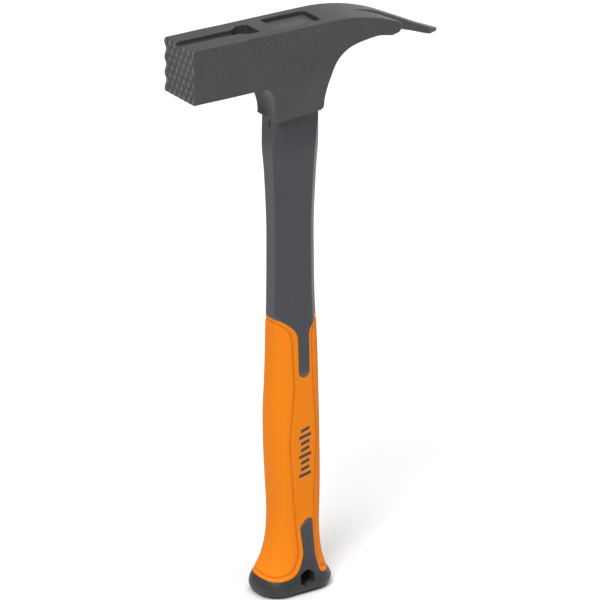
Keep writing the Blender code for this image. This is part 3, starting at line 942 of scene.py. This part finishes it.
def placeWearAndHighlight(graph, wearAndHighlight, start, end, scale):
    node = graph.add("ShaderNodeGroup", node_tree=wearAndHighlight)
    for name, value in (("Start", start), ("End", end), ("Scale", scale)):
        node.inputs[name].default_value = value
    return node.outputs["Mask"]


def placeParts(graph):
    # the X, Y and Z of each point of the surface
    place = graph.add("ShaderNodeTexCoord").outputs["Object"]
    return graph.add("ShaderNodeSeparateXYZ", {0: place}).outputs


def readMask(graph, name):
    return graph.add("ShaderNodeAttribute", attribute_name=name).outputs["Fac"]


def finishSurface(graph, shader, colour, roughness, height, strength, distance):
    # colour, roughness and a bump, joined to the shader
    inputs = {"Height": height, "Strength": strength, "Distance": distance}
    bump = graph.add("ShaderNodeBump", inputs)
    links = graph.tree.links
    links.new(colour, shader.inputs["Base Color"])
    links.new(roughness, shader.inputs["Roughness"])
    links.new(bump.outputs["Normal"], shader.inputs["Normal"])


steelLook = {
    "dark": (0.023, 0.023, 0.024, 1),
    "light": (0.042, 0.042, 0.042, 1),
    "speck": (0.062, 0.062, 0.062, 1),
    # lighter tone of rubbed edges, also painted on the tooth tips as shading
    "rubbedAndHighlit": (0.150, 0.150, 0.148, 1),
    # painted shade: the tone of points that bend inwards
    "hollowShade": (0.012, 0.012, 0.012, 1),
    # painted shade: the tone of the throat under the poll
    "throat": (0.014, 0.014, 0.014, 1),
    "grain": (2400.0, 45.0),
    "wearAndHighlight": (0.05, 0.19, 350.0),
    "speckRange": (0.50, 0.72),
    "hollowShadeRange": (-0.03, -0.20),
    "toothRange": (0.15, 0.95, 0.0, 0.75),
    "throatShadeX": (-0.0118, -0.0142),
    "throatShadeY": (-0.0085, 0.0015),
    "throatShadeDrop": (0.0005, 0.0025),
    "throatShadeShare": 0.6,
    "throatRoughness": 0.2,
    "roughness": (0.46, 0.58),
    "bump": (0.7, 0.0003),
}


def steelFinish(grain, wearAndHighlight):
    # tempered forging: near-black scale, a little lighter where it is rubbed; painted shade in its
    # hollows and throat, and painted shading on its teeth
    look = steelLook
    made, graph, shader = newMaterial("forgedSteel")
    height, cloud = placeGrain(graph, grain, *look["grain"])
    rubbedAndHighlit = placeWearAndHighlight(graph, wearAndHighlight, *look["wearAndHighlight"])
    colour = graph.mix(cloud, look["dark"], look["light"])
    colour = graph.mix(graph.spread(height, *look["speckRange"]), colour, look["speck"])
    # painted shade: points that bend inwards, in creases and hollows, are darkened
    hollowShade = graph.spread(readMask(graph, "surfaceBend"), *look["hollowShadeRange"])
    colour = graph.mix(hollowShade, colour, look["hollowShade"])
    # painted shade: the throat under the poll is darkened where the poll's shadow falls, most of all on
    # the far side, and made duller
    parts = placeParts(graph)
    shoulder = top - headShape["pollDepth"]
    below = graph.spread(parts["Z"], *(shoulder - drop for drop in look["throatShadeDrop"]))
    across = graph.math("MULTIPLY", graph.spread(parts["Y"], *look["throatShadeY"]), below)
    throat = graph.math("MULTIPLY", graph.spread(parts["X"], *look["throatShadeX"]), across)
    colour = graph.mix(graph.math("MULTIPLY", throat, look["throatShadeShare"]), colour, look["throat"])
    # the tooth tips are lightened towards the rubbed tone and the valleys kept dark: partly worn tips,
    # partly painted shading that models each tooth
    teeth = graph.spread(readMask(graph, "tooth"), *look["toothRange"])
    colour = graph.mix(teeth, colour, look["rubbedAndHighlit"])
    colour = graph.mix(rubbedAndHighlit, colour, look["rubbedAndHighlit"])
    duller = graph.math("MULTIPLY", throat, look["throatRoughness"])
    roughness = graph.math("ADD", graph.spread(cloud, 0.0, 1.0, *look["roughness"]), duller)
    finishSurface(graph, shader, colour, roughness, height, *look["bump"])
    return made


plasticLook = {
    "dark": (0.0275, 0.0290, 0.0345, 1),
    "light": (0.0340, 0.0360, 0.0420, 1),
    # lighter tone painted on the edges and rims as a highlight
    "rubbedAndHighlit": (0.095, 0.100, 0.105, 1),
    # painted shadow: the tone where the head's shadow falls on the handle
    "collarShadow": (0.0265, 0.0280, 0.0330, 1),
    "cap": (0.053, 0.057, 0.062, 1),
    # painted shade: the tone of the lower end of the handle
    "butt": (0.013, 0.0135, 0.0145, 1),
    "grain": (3500.0, 30.0),
    "wearAndHighlight": (0.045, 0.12, 200.0),
    "wearAndHighlightByHeight": (0.0, 0.030, 0.25, 0.6),
    "collarShadowStart": (0.2452, 0.2470),
    "collarShadowEnd": (0.300, 0.290),
    "capRange": (0.303, 0.305),
    "buttRange": (0.024, 0.010),
    "roughness": (0.42, 0.50),
    "bump": (0.25, 0.0001),
}


def plasticFinish(grain, wearAndHighlight):
    # glass-filled moulding with a fine spark-eroded texture
    look = plasticLook
    made, graph, shader = newMaterial("greyMoulding")
    texture, cloud = placeGrain(graph, grain, *look["grain"])
    rubbedAndHighlit = placeWearAndHighlight(graph, wearAndHighlight, *look["wearAndHighlight"])
    colour = graph.mix(cloud, look["dark"], look["light"])
    height = placeParts(graph)["Z"]
    # painted shadow: the head's shadow darkens a band of the handle just below the head
    start, end = (graph.spread(height, *look[name]) for name in ("collarShadowStart", "collarShadowEnd"))
    colour = graph.mix(graph.math("MULTIPLY", start, end), colour, look["collarShadow"])
    colour = graph.mix(graph.spread(height, *look["capRange"]), colour, look["cap"])
    # painted shade: the handle is darkened towards the bottom, below 24 mm
    colour = graph.mix(graph.spread(height, *look["buttRange"]), colour, look["butt"])
    # painted highlight: the bent edges and rims of the moulding are lightened, less towards the butt
    edges = graph.math("MULTIPLY", rubbedAndHighlit, graph.spread(height, *look["wearAndHighlightByHeight"]))
    colour = graph.mix(edges, colour, look["rubbedAndHighlit"])
    roughness = graph.spread(cloud, 0.0, 1.0, *look["roughness"])
    finishSurface(graph, shader, colour, roughness, texture, *look["bump"])
    return made


rubberLook = {
    "plain": (0.72, 0.195, 0.005, 1),
    "zone": (0.70, 0.185, 0.004, 1),
    "cell": (0.80, 0.228, 0.008, 1),
    # painted shade: the tone of the grooves
    "groove": (0.60, 0.108, 0.003, 1),
    "cellShare": 0.55,
    "grooveShare": 0.9,
    "specular": 0.12,
    "grain": (3000.0, 40.0),
    "roughness": (0.62, 0.72),
    "bump": (0.4, 0.0001),
}


def rubberFinish(grain):
    # soft orange, with painted shade in the grooves, and fuller in the textured zones
    look = rubberLook
    made, graph, shader = newMaterial("orangeRubber")
    shader.inputs["Specular IOR Level"].default_value = look["specular"]
    texture, cloud = placeGrain(graph, grain, *look["grain"])
    zone, groove = readMask(graph, "zone"), readMask(graph, "groove")
    parts = placeParts(graph)
    turn = graph.math("ARCTAN2", parts["Y"], graph.math("MULTIPLY", parts["X"], -1.0))
    around = graph.math("MULTIPLY", turn, gripShape["cellRadius"])
    wave = 4 * math.pi / (math.sqrt(3) * gripShape["cellPitch"])
    total = graph.math("COSINE", graph.math("MULTIPLY", around, wave))
    for side in (-1, 1):
        climb = graph.math("MULTIPLY", parts["Z"], side * math.sqrt(3) / 2)
        slant = graph.math("ADD", graph.math("MULTIPLY", around, 0.5), climb)
        crossing = graph.math("COSINE", graph.math("MULTIPLY", slant, wave))
        total = graph.math("ADD", total, crossing)
    cells = graph.math("MULTIPLY", graph.spread(total, -1.5, 3.0), zone)
    colour = graph.mix(zone, look["plain"], look["zone"])
    colour = graph.mix(graph.math("MULTIPLY", cells, look["cellShare"]), colour, look["cell"])
    # painted shade: the grooves are darkened
    colour = graph.mix(graph.math("MULTIPLY", groove, look["grooveShare"]), colour, look["groove"])
    roughness = graph.spread(cloud, 0.0, 1.0, *look["roughness"])
    height = graph.math("ADD", graph.math("MULTIPLY", texture, 0.35), cells)
    finishSurface(graph, shader, colour, roughness, height, *look["bump"])
    return made


# finishes that need only two tones, grain and a range of roughness
plainLooks = {
    "navyInk": {
        "metallic": 0.0,
        "tones": ((0.016, 0.020, 0.034, 1), (0.026, 0.030, 0.044, 1)),
        "grain": (3000.0, 150.0),
        "roughness": (0.45, 0.60),
        "bump": (0.2, 0.0001),
    },
    "magnetMetal": {
        "metallic": 1.0,
        "tones": ((0.30, 0.24, 0.17, 1), (0.42, 0.36, 0.28, 1)),
        "grain": (1800.0, 400.0),
        "roughness": (0.32, 0.48),
        "bump": (0.3, 0.0001),
    },
    "curedResin": {
        "metallic": 0.0,
        "tones": ((0.26, 0.23, 0.16, 1), (0.34, 0.31, 0.23, 1)),
        "grain": (900.0, 200.0),
        "roughness": (0.25, 0.45),
        "bump": (0.4, 0.0002),
    },
}


def plainFinish(name, grain):
    look = plainLooks[name]
    made, graph, shader = newMaterial(name, look["metallic"])
    texture, cloud = placeGrain(graph, grain, *look["grain"])
    colour = graph.mix(cloud, *look["tones"])
    roughness = graph.spread(cloud, 0.0, 1.0, *look["roughness"])
    finishSurface(graph, shader, colour, roughness, texture, *look["bump"])
    return made


fibreLook = {
    "tones": ((0.50, 0.48, 0.34, 1), (0.70, 0.68, 0.56, 1)),
    "stretch": (1.0, 1.0, 0.01),
    "strands": 2600.0,
    "grain": (1500.0, 120.0),
    "roughness": (0.35, 0.50),
    "bump": (0.5, 0.0002),
}


def fibreFinish(grain):
    # drawn glass strands along the rod
    look = fibreLook
    made, graph, shader = newMaterial("glassFibre")
    _, cloud = placeGrain(graph, grain, *look["grain"])
    place = graph.add("ShaderNodeTexCoord").outputs["Object"]
    drawn = graph.add("ShaderNodeMapping", {"Vector": place, "Scale": look["stretch"]}).outputs[0]
    strands = graph.noise(drawn, look["strands"], 2.0, 0.6)
    colour = graph.mix(strands, *look["tones"])
    roughness = graph.spread(cloud, 0.0, 1.0, *look["roughness"])
    finishSurface(graph, shader, colour, roughness, strands, *look["bump"])
    return made


stageShape = {
    "floorSize": 8.0,
    "floorTone": (0.68, 0.68, 0.68, 1),
    "floorRoughness": 0.9,
    "target": (0.0059, 0.0, 0.1593),
    "azimuth": 33.25,
    "elevation": 22.82,
    "distance": 2.7,
    "lens": 318.24,
    "roomLight": 0.40,
    # azimuth and elevation that each light travels along, its strength and its spread in degrees
    "keyLight": (54, 52, 2.1, 20),
    "topLight": (0, 82, 2.3, 50),
    "rimLight": (-123, 14, 0.5, 40),
}


def lookDirection(azimuth, elevation):
    turn, tilt = math.radians(azimuth), math.radians(elevation)
    return Vector((math.sin(turn) * math.cos(tilt), math.cos(turn) * math.cos(tilt), -math.sin(tilt)))


def addCamera():
    data = bpy.data.cameras.new("mainCamera")
    data.lens = stageShape["lens"]
    data.sensor_width = 36.0
    data.clip_end = 50.0
    camera = bpy.data.objects.new("mainCamera", data)
    direction = lookDirection(stageShape["azimuth"], stageShape["elevation"])
    camera.location = Vector(stageShape["target"]) - direction * stageShape["distance"]
    camera.rotation_euler = direction.to_track_quat("-Z", "Y").to_euler()
    bpy.context.scene.collection.objects.link(camera)
    bpy.context.scene.camera = camera


def addFloor():
    bm = bmesh.new()
    bmesh.ops.create_grid(bm, x_segments=2, y_segments=2, size=stageShape["floorSize"] / 2)
    floor = addObject(bm, "floor")
    made, _, shader = newMaterial("paleFloor")
    shader.inputs["Roughness"].default_value = stageShape["floorRoughness"]
    shader.inputs["Base Color"].default_value = stageShape["floorTone"]
    floor.data.materials.append(made)


def addLight(name):
    azimuth, elevation, strength, spread = stageShape[name]
    data = bpy.data.lights.new(name, "SUN")
    data.energy = strength
    data.angle = math.radians(spread)
    light = bpy.data.objects.new(name, data)
    light.rotation_euler = lookDirection(azimuth, elevation).to_track_quat("-Z", "Y").to_euler()
    bpy.context.scene.collection.objects.link(light)


def addWorld():
    world = bpy.data.worlds.new("softRoom")
    world.use_nodes = True
    background = world.node_tree.nodes["Background"]
    background.inputs["Color"].default_value = (1, 1, 1, 1)
    background.inputs["Strength"].default_value = stageShape["roomLight"]
    bpy.context.scene.world = world
    bpy.context.scene.view_settings.view_transform = "Standard"


addCamera()
addFloor()
addWorld()
for name in ("keyLight", "topLight", "rimLight"):
    addLight(name)
print("stage ready")

grain = grainGroup()
wearAndHighlight = wearAndHighlightGroup()
plastic = plasticFinish(grain, wearAndHighlight)
forgedHead(steelFinish(grain, wearAndHighlight))
print("head ready")
nailMagnet(plainFinish("magnetMetal", grain))
eyePlug(plastic)
handleJacket(plastic)
print("jacket ready")
softGrip(rubberFinish(grain))
print("grip ready")
printMark(plainFinish("navyInk", grain))
hidden = {"eye_bond": plainFinish("curedResin", grain), "handle_core": fibreFinish(grain)}
for node, finish in hidden.items():
    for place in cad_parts[node].material_slots:
        place.material = finish
print("hidden pieces ready")
